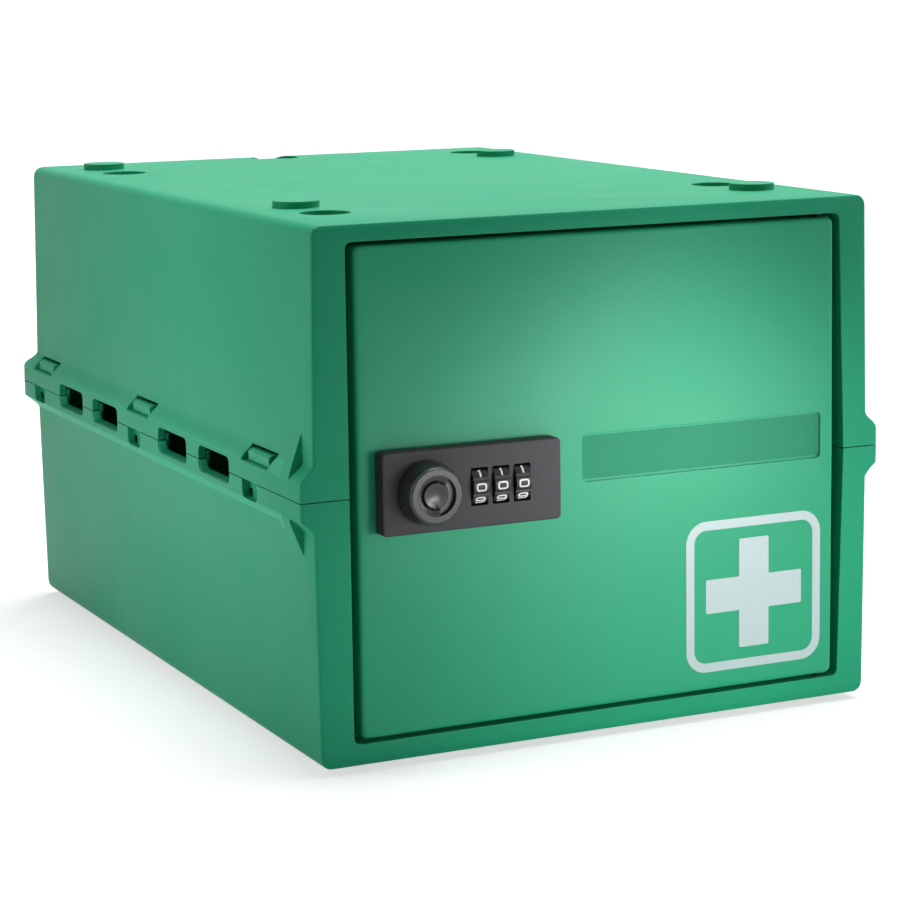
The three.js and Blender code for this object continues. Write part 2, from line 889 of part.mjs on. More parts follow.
function lockCase() {
  const lap = caseFlangeLap + bezelLap;
  const flange = rectangle(
    holeLeft - lap,
    holeRight + lap,
    holeBottom - lap,
    holeTop + lap,
    lockCornerRadius,
  );
  const body = rectangle(holeLeft, holeRight, holeBottom, holeTop, lockCornerRadius);
  const inside = rectangle(
    holeLeft + caseWall,
    holeRight - caseWall,
    holeBottom + caseWall,
    holeTop - caseWall,
    lockCornerRadius,
  );
  const outer = joined(
    extruded(flange, caseFront, caseFront + caseFlange, 'y'),
    extruded(body, caseFront, caseBack, 'y'),
  );
  const hollow = extruded(inside, caseFront - overrun, caseBack - caseWall, 'y');
  const columns = postPlaces().map(
    ([x, z]) => rod(x, z, columnRadius, caseFront, caseBack - caseWall / 2, 'y'),
  );
  const holes = postPlaces().flatMap(([x, z]) => [
    rod(x, z, screwRadius + clearance, caseFront - overrun, caseBack + overrun, 'y'),
    rod(x, z, screwHeadRadius + clearance, caseBack - screwHeadHeight - clearance, caseBack + overrun, 'y'),
  ]);
  const shankHole = rod(knobX, lockRise, shankRadius + clearance, caseFront, caseBack + overrun, 'y');
  return cut(joined(cut(outer, hollow), ...columns), ...holes, shankHole);
}

function lockScrew([x, z]) {
  const headFront = caseBack - screwHeadHeight;
  const tip = doorPlate - screwBite;
  return joined(
    rod(x, z, screwRadius, tip, headFront + screwHeadHeight / 2, 'y'),
    rod(x, z, screwHeadRadius, headFront, caseBack, 'y'),
  );
}

// Number dials

function dialProfile() {
  const spread = dialGrooveRadius / dialRadius;
  const between = Math.PI * 2 / dialDigits;
  const rim = (angle, radius) => [radius * Math.cos(angle), radius * Math.sin(angle)];
  const shape = new THREE.Shape();
  shape.moveTo(...rim(between / 2 - spread, dialRadius));
  for (let digit = 0; digit < dialDigits; digit += 1) {
    const groove = between * (digit + 1 / 2);
    const floor = rim(groove, dialRadius - dialGrooveDepth * 2);
    shape.quadraticCurveTo(...floor, ...rim(groove + spread, dialRadius));
    shape.absarc(0, 0, dialRadius, groove + spread, groove + between - spread);
  }
  return shape;
}

function dial(index) {
  const middle = dialX(index);
  const wheel = extruded(dialProfile(), -dialWidth / 2, dialWidth / 2, 'x', 2);
  const bore = rod(0, 0, dialBore, -dialWidth, dialWidth, 'x');
  return cut(wheel, bore).translate([middle, dialAxisY, lockRise]);
}

function codeSleeve(index) {
  const middle = dialX(index);
  const outer = dialBore - clearance;
  const reach = dialWidth / 2 + sleeveOverhang;
  const bore = rod(0, 0, outer - sleeveWall, -reach * 2, reach * 2, 'x');
  const tube = cut(rod(0, 0, outer, -reach, reach, 'x'), bore);
  const gate = block(dialWidth / 2, reach * 2, -sleeveGate / 2, sleeveGate / 2, 0, dialBore * 2);
  return cut(tube, gate).translate([middle, dialAxisY, lockRise]);
}

function dialSpindle() {
  const reach = dialPitch * (dialCount / 2) + bearingGap;
  return rod(dialAxisY, lockRise, spindleRadius, dialsMiddle - reach, dialsMiddle + reach, 'x');
}

// A leaf spring lies on the case's back wall, and a bent finger presses between the digits of each dial
function detentSpring() {
  const seatY = caseBack - caseWall - clearance;
  const tipY = dialAxisY + dialRadius + clearance + springThickness;
  const foot = lockRise - springReach;
  const bend = foot + springFoot;
  const side = [[foot, seatY], [bend, seatY], [lockRise, tipY], [lockRise + springReach / 2, seatY]];
  const front = side.map(([z, y]) => [y - springThickness, z]);
  const back = side.map(([z, y]) => [y, z]).reverse();
  const finger = outline([...front, ...back]);
  const strip = block(
    dialX(0) - springFinger / 2,
    dialX(dialCount - 1) + springFinger / 2,
    seatY - springThickness,
    seatY,
    foot,
    bend,
  );
  const fingers = Array.from({ length: dialCount }, (_, index) => extruded(
    finger,
    dialX(index) - springFinger / 2,
    dialX(index) + springFinger / 2,
    'x',
  ));
  return joined(strip, ...fingers);
}

// Knob, spindle and cam

// A sector of the circle round the knob's axis, between two angles
function knobSector(from, to, front, back) {
  const reach = knobRadius;
  const shape = new THREE.Shape();
  shape.moveTo(knobX, lockRise);
  shape.absarc(knobX, lockRise, reach, from, to);
  shape.closePath();
  return extruded(shape, front, back, 'y');
}

// The face is dished, and a sloping ridge bows round three fifths of the dish
function knob() {
  const face = -knobStandOut;
  const base = -lockStandOut - clearance;
  const floor = face + knobDishDepth;
  const body = revolved([
    [0, floor],
    [knobDishRadius - knobDishSlope, floor],
    [knobDishRadius, face],
    [knobFaceRadius - knobChamfer, face],
    [knobFaceRadius, face + knobChamfer],
    [knobRadius, base - knobSkirt],
    [knobRadius, base],
    [knobStemRadius, base],
    [knobStemRadius, base + knobStemLength],
    [0, base + knobStemLength],
  ], knobX, lockRise);
  const ridge = revolved([
    [capRadius + clearance, floor + knobBowLip],
    [capRadius + clearance, floor - knobBowLip],
    [knobDishRadius - knobBowLip / 2, floor - knobBowRise],
    [knobDishRadius, floor + knobBowLip],
    [capRadius + clearance, floor + knobBowLip],
  ], knobX, lockRise).intersect(knobSector(knobBowFrom, knobBowTo, face - overrun, floor + overrun));
  const capHole = rod(knobX, lockRise, capRadius + pinClearance, face, floor + capSeat, 'y', knobSteps);
  const shankHole = rod(
    knobX,
    lockRise,
    shankRadius + pinClearance,
    base - shankBury - pinClearance,
    base + knobStemLength + overrun,
    'y',
  );
  return cut(joined(body, ridge), capHole, shankHole);
}

// The cap is hollowed a little, and a short mark at its edge shows how far the knob is turned
function knobCap() {
  const floor = -knobStandOut + knobDishDepth;
  const crown = floor - capRise;
  const seat = floor + capSeat - pinClearance;
  const body = revolved([
    [0, crown + capHollow],
    [capRadius / 2, crown + capHollow / 2],
    [capRadius - clearance, crown],
    [capRadius, crown + clearance],
    [capRadius, seat],
    [0, seat],
  ], knobX, lockRise);
  const mark = rectangle(
    knobX - capMarkWidth / 2,
    knobX + capMarkWidth / 2,
    lockRise - capRadius - overrun,
    lockRise - capRadius + capMarkLength,
  );
  return cut(body, extruded(mark, crown - overrun, crown + capMarkDepth, 'y'));
}

function squareAt(size) {
  return rectangle(knobX - size / 2, knobX + size / 2, lockRise - size / 2, lockRise + size / 2);
}

function knobSpindle() {
  const front = -lockStandOut - clearance - shankBury;
  const bore = rod(
    knobX,
    lockRise,
    camScrewRadius + pinClearance,
    camBack - camScrewLength - clearance,
    camBack + overrun,
    'y',
  );
  const shank = rod(knobX, lockRise, shankRadius, front, caseBack, 'y');
  return cut(joined(shank, extruded(squareAt(squareSize), caseBack - overrun, camBack, 'y')), bore);
}

function camLatch() {
  const tip = lockRise - camReach;
  const arm = outline([
    [knobX - camWidth / 2, tip, camTipRadius],
    [knobX + camWidth / 2, tip, camTipRadius],
    [knobX + camWidth / 2, lockRise],
    [knobX - camWidth / 2, lockRise],
  ]);
  const plate = joined(
    extruded(arm, camFront, camBack, 'y'),
    rod(knobX, lockRise, camHubRadius, camFront, camBack, 'y', fineRoundSteps),
  );
  return cut(plate, extruded(squareAt(squareSize + clearance), camFront - overrun, camBack + overrun, 'y'));
}

function camWasher() {
  const front = camBack + camGap;
  const back = front + washerThickness;
  const hole = rod(knobX, lockRise, camScrewRadius + clearance, front - overrun, back + overrun, 'y');
  return cut(rod(knobX, lockRise, washerRadius, front, back, 'y', fineRoundSteps), hole);
}

function camScrew() {
  const headFront = camBack + camGap + washerThickness + camGap;
  const headBack = headFront + camScrewHeadHeight;
  const slot = block(
    knobX - camScrewHeadRadius * 2,
    knobX + camScrewHeadRadius * 2,
    headBack - camScrewSlotDepth,
    headBack + overrun,
    lockRise - camScrewSlotWidth / 2,
    lockRise + camScrewSlotWidth / 2,
  );
  const whole = joined(
    rod(knobX, lockRise, camScrewRadius, camBack - camScrewLength, headFront + camScrewSlotDepth / 2, 'y'),
    rod(knobX, lockRise, camScrewHeadRadius, headFront, headBack, 'y', fineRoundSteps),
  );
  return cut(whole, slot);
}

// Materials and the scene graph

const finishes = {
  shellGreen: { color: '#2fa277', roughness: 0.42, metalness: 0 },
  doorGreen: { color: '#2c9c72', roughness: 0.38, metalness: 0 },
  lockBlack: { color: '#33323a', roughness: 0.6, metalness: 0 },
  dialBlack: { color: '#17171a', roughness: 0.45, metalness: 0 },
  brass: { color: '#b08d3e', roughness: 0.35, metalness: 1 },
  zinc: { color: '#a9abad', roughness: 0.4, metalness: 1 },
  steel: { color: '#b9bcc0', roughness: 0.3, metalness: 1 },
};

function meshOf(name, solid, finish) {
  const { vertProperties, triVerts } = solid.getMesh();
  const geometry = new THREE.BufferGeometry();
  geometry.setAttribute('position', new THREE.BufferAttribute(Float32Array.from(vertProperties), 3));
  geometry.setIndex(Array.from(triVerts));
  geometry.computeVertexNormals();
  const mesh = new THREE.Mesh(geometry, new THREE.MeshStandardMaterial(finishes[finish]));
  mesh.name = name;
  return mesh;
}

function bodyGroup() {
  const group = new THREE.Group();
  group.add(
    meshOf('upper_shell', upperShell(), 'shellGreen'),
    meshOf('lower_shell', lowerShell(), 'shellGreen'),
  );
  return group;
}

function dialGroup() {
  const group = new THREE.Group();
  for (let index = 0; index < dialCount; index += 1) {
    group.add(
      meshOf(`dial_${index + 1}`, dial(index), 'dialBlack'),
      meshOf(`code_sleeve_${index + 1}`, codeSleeve(index), 'brass'),
    );
  }
  return group;
}

function knobGroup() {
  const group = new THREE.Group();
  group.add(
    meshOf('knob', knob(), 'lockBlack'),
    meshOf('knob_cap', knobCap(), 'lockBlack'),
    meshOf('knob_spindle', knobSpindle(), 'zinc'),
    meshOf('cam_latch', camLatch(), 'steel'),
    meshOf('cam_washer', camWasher(), 'steel'),
    meshOf('cam_screw', camScrew(), 'steel'),
  );
  return group;
}

function doorGroup() {
  const group = new THREE.Group();
  group.add(
    meshOf('door_panel', doorPanel(), 'doorGreen'),
    meshOf('hinge_pin_top', hingePin(upperHalf), 'steel'),
    meshOf('hinge_pin_bottom', hingePin(lowerHalf), 'steel'),
    meshOf('lock_bezel', lockBezel(), 'lockBlack'),
    meshOf('lock_case', lockCase(), 'lockBlack'),
    meshOf('dial_spindle', dialSpindle(), 'steel'),
    meshOf('detent_spring', detentSpring(), 'steel'),
    ...postPlaces().map((place, index) => meshOf(`lock_screw_${index + 1}`, lockScrew(place), 'steel')),
    dialGroup(),
    knobGroup(),
  );
  return group;
}

const lockBox = new THREE.Group();
lockBox.add(bodyGroup(), doorGroup());
lockBox.position.set(0, (knobStandOut - bodyDepth - beltDepth) / 2, halfHeight + footHeight);

export default lockBox;
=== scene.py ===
import bpy
import json
import math
from mathutils import Matrix, Vector
from mathutils.geometry import delaunay_2d_cdt

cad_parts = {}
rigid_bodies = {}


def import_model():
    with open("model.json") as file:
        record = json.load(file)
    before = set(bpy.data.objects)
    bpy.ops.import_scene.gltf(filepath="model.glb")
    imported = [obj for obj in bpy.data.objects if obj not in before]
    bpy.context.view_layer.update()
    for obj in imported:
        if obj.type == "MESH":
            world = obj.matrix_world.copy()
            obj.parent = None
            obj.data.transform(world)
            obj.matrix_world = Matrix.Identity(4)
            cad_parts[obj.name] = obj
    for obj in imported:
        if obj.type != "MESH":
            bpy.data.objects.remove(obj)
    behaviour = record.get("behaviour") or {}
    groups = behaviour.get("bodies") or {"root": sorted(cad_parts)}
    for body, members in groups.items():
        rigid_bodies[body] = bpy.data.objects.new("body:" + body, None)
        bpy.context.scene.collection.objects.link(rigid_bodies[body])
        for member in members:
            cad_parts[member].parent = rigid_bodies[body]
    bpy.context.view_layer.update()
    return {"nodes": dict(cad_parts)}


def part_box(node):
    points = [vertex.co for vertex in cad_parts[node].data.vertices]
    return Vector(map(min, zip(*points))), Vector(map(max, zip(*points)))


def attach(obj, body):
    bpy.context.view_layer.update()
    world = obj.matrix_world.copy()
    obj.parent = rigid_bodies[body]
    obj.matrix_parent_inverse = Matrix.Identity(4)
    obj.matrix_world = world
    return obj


# The startup file's own cube, lamp and camera go first
for leftover in list(bpy.data.objects):
    bpy.data.objects.remove(leftover)

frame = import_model()
nodes = frame["nodes"]
print("frame loaded:", len(nodes), "nodes")


# Camera, fitted to the corners of the box in the photograph

camera = {
    "place": (-0.40526, -0.89053, 0.24639),
    "yaw": 0.4528,  # turned from +Y towards +X
    "pitch": -0.1445,
    "roll": -0.0125,
    "focalPixels": 2747.4,
    "imagePixels": 900,
    "sensor": 36.0,
    "shift": (-0.04444, -0.1),
    "clip": (0.02, 60.0),
}


def makeCamera(facts):
    data = bpy.data.cameras.new("photoCamera")
    data.sensor_width = facts["sensor"]
    data.lens = facts["focalPixels"] / facts["imagePixels"] * facts["sensor"]
    data.shift_x, data.shift_y = facts["shift"]
    data.clip_start, data.clip_end = facts["clip"]
    item = bpy.data.objects.new("photoCamera", data)
    bpy.context.scene.collection.objects.link(item)
    yaw, pitch, roll = facts["yaw"], facts["pitch"], facts["roll"]
    forward = Vector((math.sin(yaw) * math.cos(pitch), math.cos(yaw) * math.cos(pitch), math.sin(pitch)))
    level = Vector((math.cos(yaw), -math.sin(yaw), 0.0))
    rise = level.cross(forward)
    right = math.cos(roll) * level + math.sin(roll) * rise
    up = -math.sin(roll) * level + math.cos(roll) * rise
    turn = Matrix((right, up, -forward)).transposed()
    item.matrix_world = Matrix.Translation(facts["place"]) @ turn.to_4x4()
    bpy.context.scene.camera = item


makeCamera(camera)
print("camera ready")


# Shader helpers

class NodeTree:
    def __init__(self, tree):
        self.tree = tree
        tree.nodes.clear()

    def add(self, kind, **settings):
        node = self.tree.nodes.new(kind)
        for name, value in settings.items():
            setattr(node, name, value)
        return node

    def link(self, source, target):
        self.tree.links.new(source, target)

    def put(self, value, target):
        # Another node's output is linked, and anything else is set as the target's own value
        if isinstance(value, bpy.types.NodeSocket):
            self.link(value, target)
        else:
            target.default_value = value

    def feed(self, node, **values):
        # An underscore stands for a space in the input's name
        for name, value in values.items():
            self.put(value, node.inputs[name.replace("_", " ")])

    def math(self, operation, first, second, clamp=False):
        node = self.add("ShaderNodeMath", operation=operation, use_clamp=clamp)
        self.put(first, node.inputs[0])
        self.put(second, node.inputs[1])
        return node.outputs[0]

    def noise(self, place, scale, detail, roughness):
        node = self.add("ShaderNodeTexNoise")
        self.feed(node, Vector=place, Scale=scale, Detail=detail, Roughness=roughness)
        return node.outputs["Fac"]

    def between(self, value, low, high, first=0.0, last=1.0):
        node = self.add("ShaderNodeMapRange", clamp=True)
        self.feed(node, Value=value, From_Min=low, From_Max=high, To_Min=first, To_Max=last)
        return node.outputs["Result"]

    def mixColor(self, share, first, second):
        # A Mix node has its colours at the inputs 6 and 7 and the output 2
        node = self.add("ShaderNodeMix", data_type="RGBA")
        self.put(share, node.inputs[0])
        self.put(first, node.inputs[6])
        self.put(second, node.inputs[7])
        return node.outputs[2]


def newGroup(name, inputs, outputs):
    tree = bpy.data.node_groups.new(name, "ShaderNodeTree")
    for label, kind, value in inputs:
        socket = tree.interface.new_socket(label, in_out="INPUT", socket_type=kind)
        if value is not None:
            socket.default_value = value
    for label, kind in outputs:
        tree.interface.new_socket(label, in_out="OUTPUT", socket_type=kind)
    work = NodeTree(tree)
    return work, work.add("NodeGroupInput").outputs, work.add("NodeGroupOutput").inputs


def makeSoftEdges():
    # Rounds the shading of sharp edges, and gives a mask of where they are, which the finishes use for
    # painted edge highlights
    work, given, out = newGroup(
        "softEdges",
        [("Radius", "NodeSocketFloat", 0.0004), ("Sharpness", "NodeSocketFloat", 3.0)],
        [("Normal", "NodeSocketVector"), ("Edge", "NodeSocketFloat")],
    )
    rounded = work.add("ShaderNodeBevel", samples=6)
    work.link(given["Radius"], rounded.inputs["Radius"])
    true = work.add("ShaderNodeNewGeometry")
    dot = work.add("ShaderNodeVectorMath", operation="DOT_PRODUCT")
    work.link(rounded.outputs[0], dot.inputs[0])
    work.link(true.outputs["Normal"], dot.inputs[1])
    away = work.math("SUBTRACT", 1.0, dot.outputs["Value"], clamp=True)
    work.link(work.math("MULTIPLY", away, given["Sharpness"], clamp=True), out["Edge"])
    work.link(rounded.outputs[0], out["Normal"])
    return work.tree


mouldedGrainFacts = {"waveShare": 0.4, "cloudScale": 7.0, "cloudShare": 0.6}


def makeMouldedGrain(facts):
    # The fine spark-eroded grain of a moulded face, and the slow unevenness of its colour
    work, given, out = newGroup(
        "mouldedGrain",
        [
            ("Vector", "NodeSocketVector", None),
            ("Grain Scale", "NodeSocketFloat", 1600.0),
            ("Wave Scale", "NodeSocketFloat", 22.0),
        ],
        [("Height", "NodeSocketFloat"), ("Tone", "NodeSocketFloat")],
    )
    grain = work.noise(given["Vector"], given["Grain Scale"], detail=3.0, roughness=0.6)
    wave = work.noise(given["Vector"], given["Wave Scale"], detail=1.0, roughness=0.4)
    cloud = work.noise(given["Vector"], facts["cloudScale"], detail=4.0, roughness=0.55)
    work.link(grain, out["Height"])
    waves = work.math("MULTIPLY", wave, facts["waveShare"])
    clouds = work.math("MULTIPLY", cloud, facts["cloudShare"])
    work.link(work.math("ADD", waves, clouds), out["Tone"])
    return work.tree


handlingFacts = {"rubbed": (0.42, 0.68), "dusty": (0.45, 0.60), "speck": (0.66, 0.74)}


def makeHandling(facts):
    # Faint rubs and dust that dull a face in patches
    work, given, out = newGroup(
        "handling",
        [
            ("Vector", "NodeSocketVector", None),
            ("Patch Scale", "NodeSocketFloat", 30.0),
            ("Speck Scale", "NodeSocketFloat", 900.0),
        ],
        [("Rub", "NodeSocketFloat"), ("Dust", "NodeSocketFloat")],
    )
    patch = work.noise(given["Vector"], given["Patch Scale"], detail=5.0, roughness=0.6)
    speck = work.noise(given["Vector"], given["Speck Scale"], detail=2.0, roughness=0.5)
    work.link(work.between(patch, *facts["rubbed"]), out["Rub"])
    specks, dusty = work.between(speck, *facts["speck"]), work.between(patch, *facts["dusty"])
    work.link(work.math("MULTIPLY", specks, dusty), out["Dust"])
    return work.tree


brushingFacts = {"stainScale": 120.0}


def makeBrushing(facts):
    # Fine lines along one axis of a metal part
    work, given, out = newGroup(
        "brushing",
        [("Vector", "NodeSocketVector", None), ("Stretch", "NodeSocketVector", (400.0, 4000.0, 4000.0))],
        [("Line", "NodeSocketFloat"), ("Stain", "NodeSocketFloat")],
    )
    stretched = work.add("ShaderNodeVectorMath", operation="MULTIPLY")
    work.link(given["Vector"], stretched.inputs[0])
    work.link(given["Stretch"], stretched.inputs[1])
    work.link(work.noise(stretched.outputs[0], 1.0, detail=2.0, roughness=0.6), out["Line"])
    work.link(work.noise(given["Vector"], facts["stainScale"], detail=4.0, roughness=0.6), out["Stain"])
    return work.tree


softEdges = makeSoftEdges()
mouldedGrain = makeMouldedGrain(mouldedGrainFacts)
handling = makeHandling(handlingFacts)
brushing = makeBrushing(brushingFacts)
edgeSharpness = 3.0
toneRange = (0.35, 0.65)  # where most of a noise's values lie


def placeGroup(work, tree, **values):
    node = work.add("ShaderNodeGroup")
    node.node_tree = tree
    work.feed(node, **values)
    return node.outputs


def shade(color, factor):
    return tuple(min(1.0, channel * factor) for channel in color[:3]) + (1.0,)


def cloudyTone(work, mask, color, dark, light):
    # The colour wanders between a darker and a lighter shade of itself
    return work.mixColor(work.between(mask, *toneRange), shade(color, dark), shade(color, light))


def newMaterial(name):
    material = bpy.data.materials.new(name)
    material.use_nodes = True
    work = NodeTree(material.node_tree)
    shader = work.add("ShaderNodeBsdfPrincipled")
    work.link(shader.outputs[0], work.add("ShaderNodeOutputMaterial").inputs["Surface"])
    place = work.add("ShaderNodeTexCoord").outputs["Object"]
    return material, work, shader, place


def insideBox(work, place, low, high):
    # 1 inside the box, 0 outside
    parts = work.add("ShaderNodeSeparateXYZ")
    work.link(place, parts.inputs[0])
    mask = None
    for axis, (first, last) in enumerate(zip(low, high)):
        above = work.math("GREATER_THAN", parts.outputs[axis], first)
        below = work.math("LESS_THAN", parts.outputs[axis], last)
        both = work.math("MULTIPLY", above, below)
        mask = both if mask is None else work.math("MULTIPLY", mask, both)
    return mask


def mouldedPlastic(facts):
    material, work, shader, place = newMaterial(facts["name"])
    edges = placeGroup(work, softEdges, Radius=facts["edgeRadius"], Sharpness=edgeSharpness)
    scales = {"Grain_Scale": facts["grainScale"], "Wave_Scale": facts["waveScale"]}
    grain = placeGroup(work, mouldedGrain, Vector=place, **scales)
    marks = placeGroup(work, handling, Vector=place, Patch_Scale=facts["patchScale"])
    spread = facts["toneSpread"]
    color = cloudyTone(work, grain["Tone"], facts["color"], 1 - spread, 1 + spread)
    # Painted highlight: a lighter colour along the sharp edges
    color = work.mixColor(work.math("MULTIPLY", edges["Edge"], facts["edgeHighlightShare"]), color, facts["edgeHighlightColor"])
    color = work.mixColor(work.math("MULTIPLY", marks["Dust"], facts["dustShare"]), color, facts["dustColor"])
    rough = work.math("ADD", work.math("MULTIPLY", marks["Rub"], facts["rubDull"]), facts["roughness"])
    # Each zone paints a colour and adds dullness in a box of the part: painted highlight on the belt's
    # slopes, painted shade on the lock housing's walls, and a darker floor in the door's name recess
    for zone in facts["zones"]:
        mask = insideBox(work, place, zone["low"], zone["high"])
        color = work.mixColor(work.math("MULTIPLY", mask, zone["share"]), color, zone["color"])
        rough = work.math("ADD", rough, work.math("MULTIPLY", mask, zone["dull"]))
    bump = work.add("ShaderNodeBump")
    strength, depth = facts["grainStrength"], facts["grainDepth"]
    work.feed(bump, Strength=strength, Distance=depth, Height=grain["Height"], Normal=edges["Normal"])
    work.feed(shader, Base_Color=color, Roughness=rough, Normal=bump.outputs[0])
    shader.inputs["Specular IOR Level"].default_value = facts["gloss"]
    return material


def brushedMetal(facts):
    material, work, shader, place = newMaterial(facts["name"])
    edges = placeGroup(work, softEdges, Radius=facts["edgeRadius"], Sharpness=edgeSharpness)
    lines = placeGroup(work, brushing, Vector=place, Stretch=facts["stretch"])
    color = cloudyTone(work, lines["Stain"], facts["color"], facts["dark"], facts["light"])
    # Painted highlight: a lighter shade of the metal along the sharp edges
    edgeHighlightColor = shade(facts["color"], facts["edgeHighlight"])
    color = work.mixColor(work.math("MULTIPLY", edges["Edge"], facts["edgeHighlightShare"]), color, edgeHighlightColor)
    low, high = facts["roughness"] - facts["roughSpread"], facts["roughness"] + facts["roughSpread"]
    brushed = work.between(lines["Line"], *facts["lineRange"], low, high)
    stained = work.between(lines["Stain"], *facts["stainRange"], 0.0, facts["stainDull"])
    bump = work.add("ShaderNodeBump")
    strength, depth = facts["grainStrength"], facts["grainDepth"]
    work.feed(bump, Strength=strength, Distance=depth, Height=lines["Line"], Normal=edges["Normal"])
    rough = work.math("ADD", brushed, stained)
    work.feed(shader, Base_Color=color, Roughness=rough, Normal=bump.outputs[0])
    shader.inputs["Metallic"].default_value = 1.0
    return material


def printedInk(facts):
    material, work, shader, place = newMaterial(facts["name"])
    marks = placeGroup(work, handling, Vector=place, Patch_Scale=facts["patchScale"])
    film = work.noise(place, facts["filmScale"], detail=3.0, roughness=0.6)
    spread = facts["toneSpread"]
    color = cloudyTone(work, film, facts["color"], 1 - spread, 1 + spread / 2)
    color = work.mixColor(work.math("MULTIPLY", marks["Dust"], facts["wear"]), color, facts["under"])
    rough = work.math("ADD", work.math("MULTIPLY", marks["Rub"], facts["rubDull"]), facts["roughness"])
    bump = work.add("ShaderNodeBump")
    work.feed(bump, Strength=facts["filmStrength"], Distance=facts["filmDepth"], Height=film)
    work.feed(shader, Base_Color=color, Roughness=rough, Normal=bump.outputs[0])
    return material


# Finishes

greenPlastic = {
    "name": "shellGreen",
    "color": (0.013, 0.355, 0.180),
    "toneSpread": 0.035,
    "edgeHighlightColor": (0.10, 0.56, 0.36, 1.0),
    "edgeHighlightShare": 0.6,
    "edgeRadius": 0.0005,
    "dustColor": (0.25, 0.52, 0.42, 1.0),
    "dustShare": 0.12,
    "grainScale": 1500.0,
    "waveScale": 22.0,
    "patchScale": 26.0,
    "grainStrength": 0.16,
    "grainDepth": 0.00005,
    "roughness": 0.51,
    "rubDull": 0.05,
    "gloss": 0.18,
    # Painted highlight: the slopes above and below the belt's flat are painted lighter, as if lit from above
    # and from the floor below, on the left, the right and the back
    "zones": [
        {"low": low, "high": high, "color": (0.060, 0.56, 0.34, 1.0), "share": share, "dull": 0.0}
        for bottom, top, share in ((0.0915, 0.0968, 0.30), (0.0752, 0.0799, 0.75))
        for low, high in (
            ((-0.104, -0.1230, bottom), (-0.0991, 0.1537, top)),
            ((0.0991, -0.1230, bottom), (0.104, 0.1537, top)),
            ((-0.0991, 0.1485, bottom), (0.0991, 0.1537, top)),
        )
    ],
}

doorPlastic = dict(
    greenPlastic,
    name="doorGreen",
    roughness=0.41,
    gloss=0.28,
    grainStrength=0.1,
    # The floor of the name recess is darker and duller than the face around it
    zones=[{
        "low": (-0.0072, -0.13805, 0.0842),
        "high": (0.0801, -0.1370, 0.0980),
        "color": (0.006, 0.215, 0.105, 1.0),
        "share": 0.75,
        "dull": 0.15,
    }],
)

housingPlastic = {
    "name": "lockBlack",
    "color": (0.048, 0.047, 0.054),
    "toneSpread": 0.10,
    "edgeHighlightColor": (0.12, 0.12, 0.13, 1.0),
    "edgeHighlightShare": 0.25,
    "edgeRadius": 0.0003,
    "dustColor": (0.3, 0.3, 0.3, 1.0),
    "dustShare": 0.15,
    "grainScale": 1900.0,
    "waveScale": 60.0,
    "patchScale": 60.0,
    "grainStrength": 0.8,
    "grainDepth": 0.0001,
    "roughness": 0.56,
    "rubDull": 0.04,
    "gloss": 0.3,
    # The face is spark-eroded grey, and the walls round it are painted near black, a painted shade
    "zones": [{
        "low": (-0.090, -0.14435, 0.060),
        "high": (-0.010, -0.120, 0.110),
        "color": (0.006, 0.006, 0.007, 1.0),
        "share": 0.95,
        "dull": 0.1,
    }],
}

knobPlastic = dict(
    housingPlastic,
    name="knobBlack",
    zones=[],
    color=(0.013, 0.014, 0.016),
    grainStrength=0.10,
    roughness=0.25,
    gloss=0.5,
)

dialPlastic = dict(
    housingPlastic,
    name="dialBlack",
    zones=[],
    color=(0.004, 0.004, 0.005),
    grainStrength=0.15,
    roughness=0.41,
)

pinFinish = {
    "name": "blackPin",
    "color": (0.03, 0.03, 0.032),
    "dark": 0.88,
    "light": 1.05,
    "edgeHighlight": 1.25,
    "edgeHighlightShare": 0.5,
    "edgeRadius": 0.0002,
    "stretch": (3000.0, 3000.0, 500.0),
    "roughness": 0.45,
    "roughSpread": 0.07,
    "lineRange": (0.3, 0.7),
    "stainRange": (0.5, 0.7),
    "stainDull": 0.08,
    "grainStrength": 0.25,
    "grainDepth": 0.00002,
}

steelFinish = dict(pinFinish, name="steel", color=(0.52, 0.53, 0.55), roughness=0.30)
zincFinish = dict(
    pinFinish, name="zinc", color=(0.40, 0.41, 0.42), roughness=0.42, stretch=(1500.0, 1500.0, 1500.0),
)
brassFinish = dict(
    pinFinish, name="brass", color=(0.48, 0.30, 0.09), roughness=0.30, stretch=(400.0, 4000.0, 4000.0),
)

digitInk = {
    "name": "digitInk",
    "color": (0.86, 0.87, 0.86),
    "toneSpread": 0.05,
    "filmScale": 2500.0,
    "filmStrength": 0.3,
    "filmDepth": 0.00001,
    "patchScale": 300.0,
    "wear": 0.5,
    "under": (0.05, 0.05, 0.05, 1.0),
    "roughness": 0.45,
    "rubDull": 0.06,
}

signInk = dict(
    digitInk,
    name="signInk",
    color=(0.49, 0.61, 0.61),
    toneSpread=0.03,
    filmScale=800.0,
    patchScale=60.0,
    wear=0.25,
    under=(0.1, 0.45, 0.3, 1.0),
    roughness=0.36,
)

finishes = {
    "shell": mouldedPlastic(greenPlastic),
    "door": mouldedPlastic(doorPlastic),
    "housing": mouldedPlastic(housingPlastic),
    "knob": mouldedPlastic(knobPlastic),
    "dial": mouldedPlastic(dialPlastic),
    "pin": brushedMetal(pinFinish),
    "steel": brushedMetal(steelFinish),
    "zinc": brushedMetal(zincFinish),
    "brass": brushedMetal(brassFinish),
    "digits": printedInk(digitInk),
    "sign": printedInk(signInk),
}

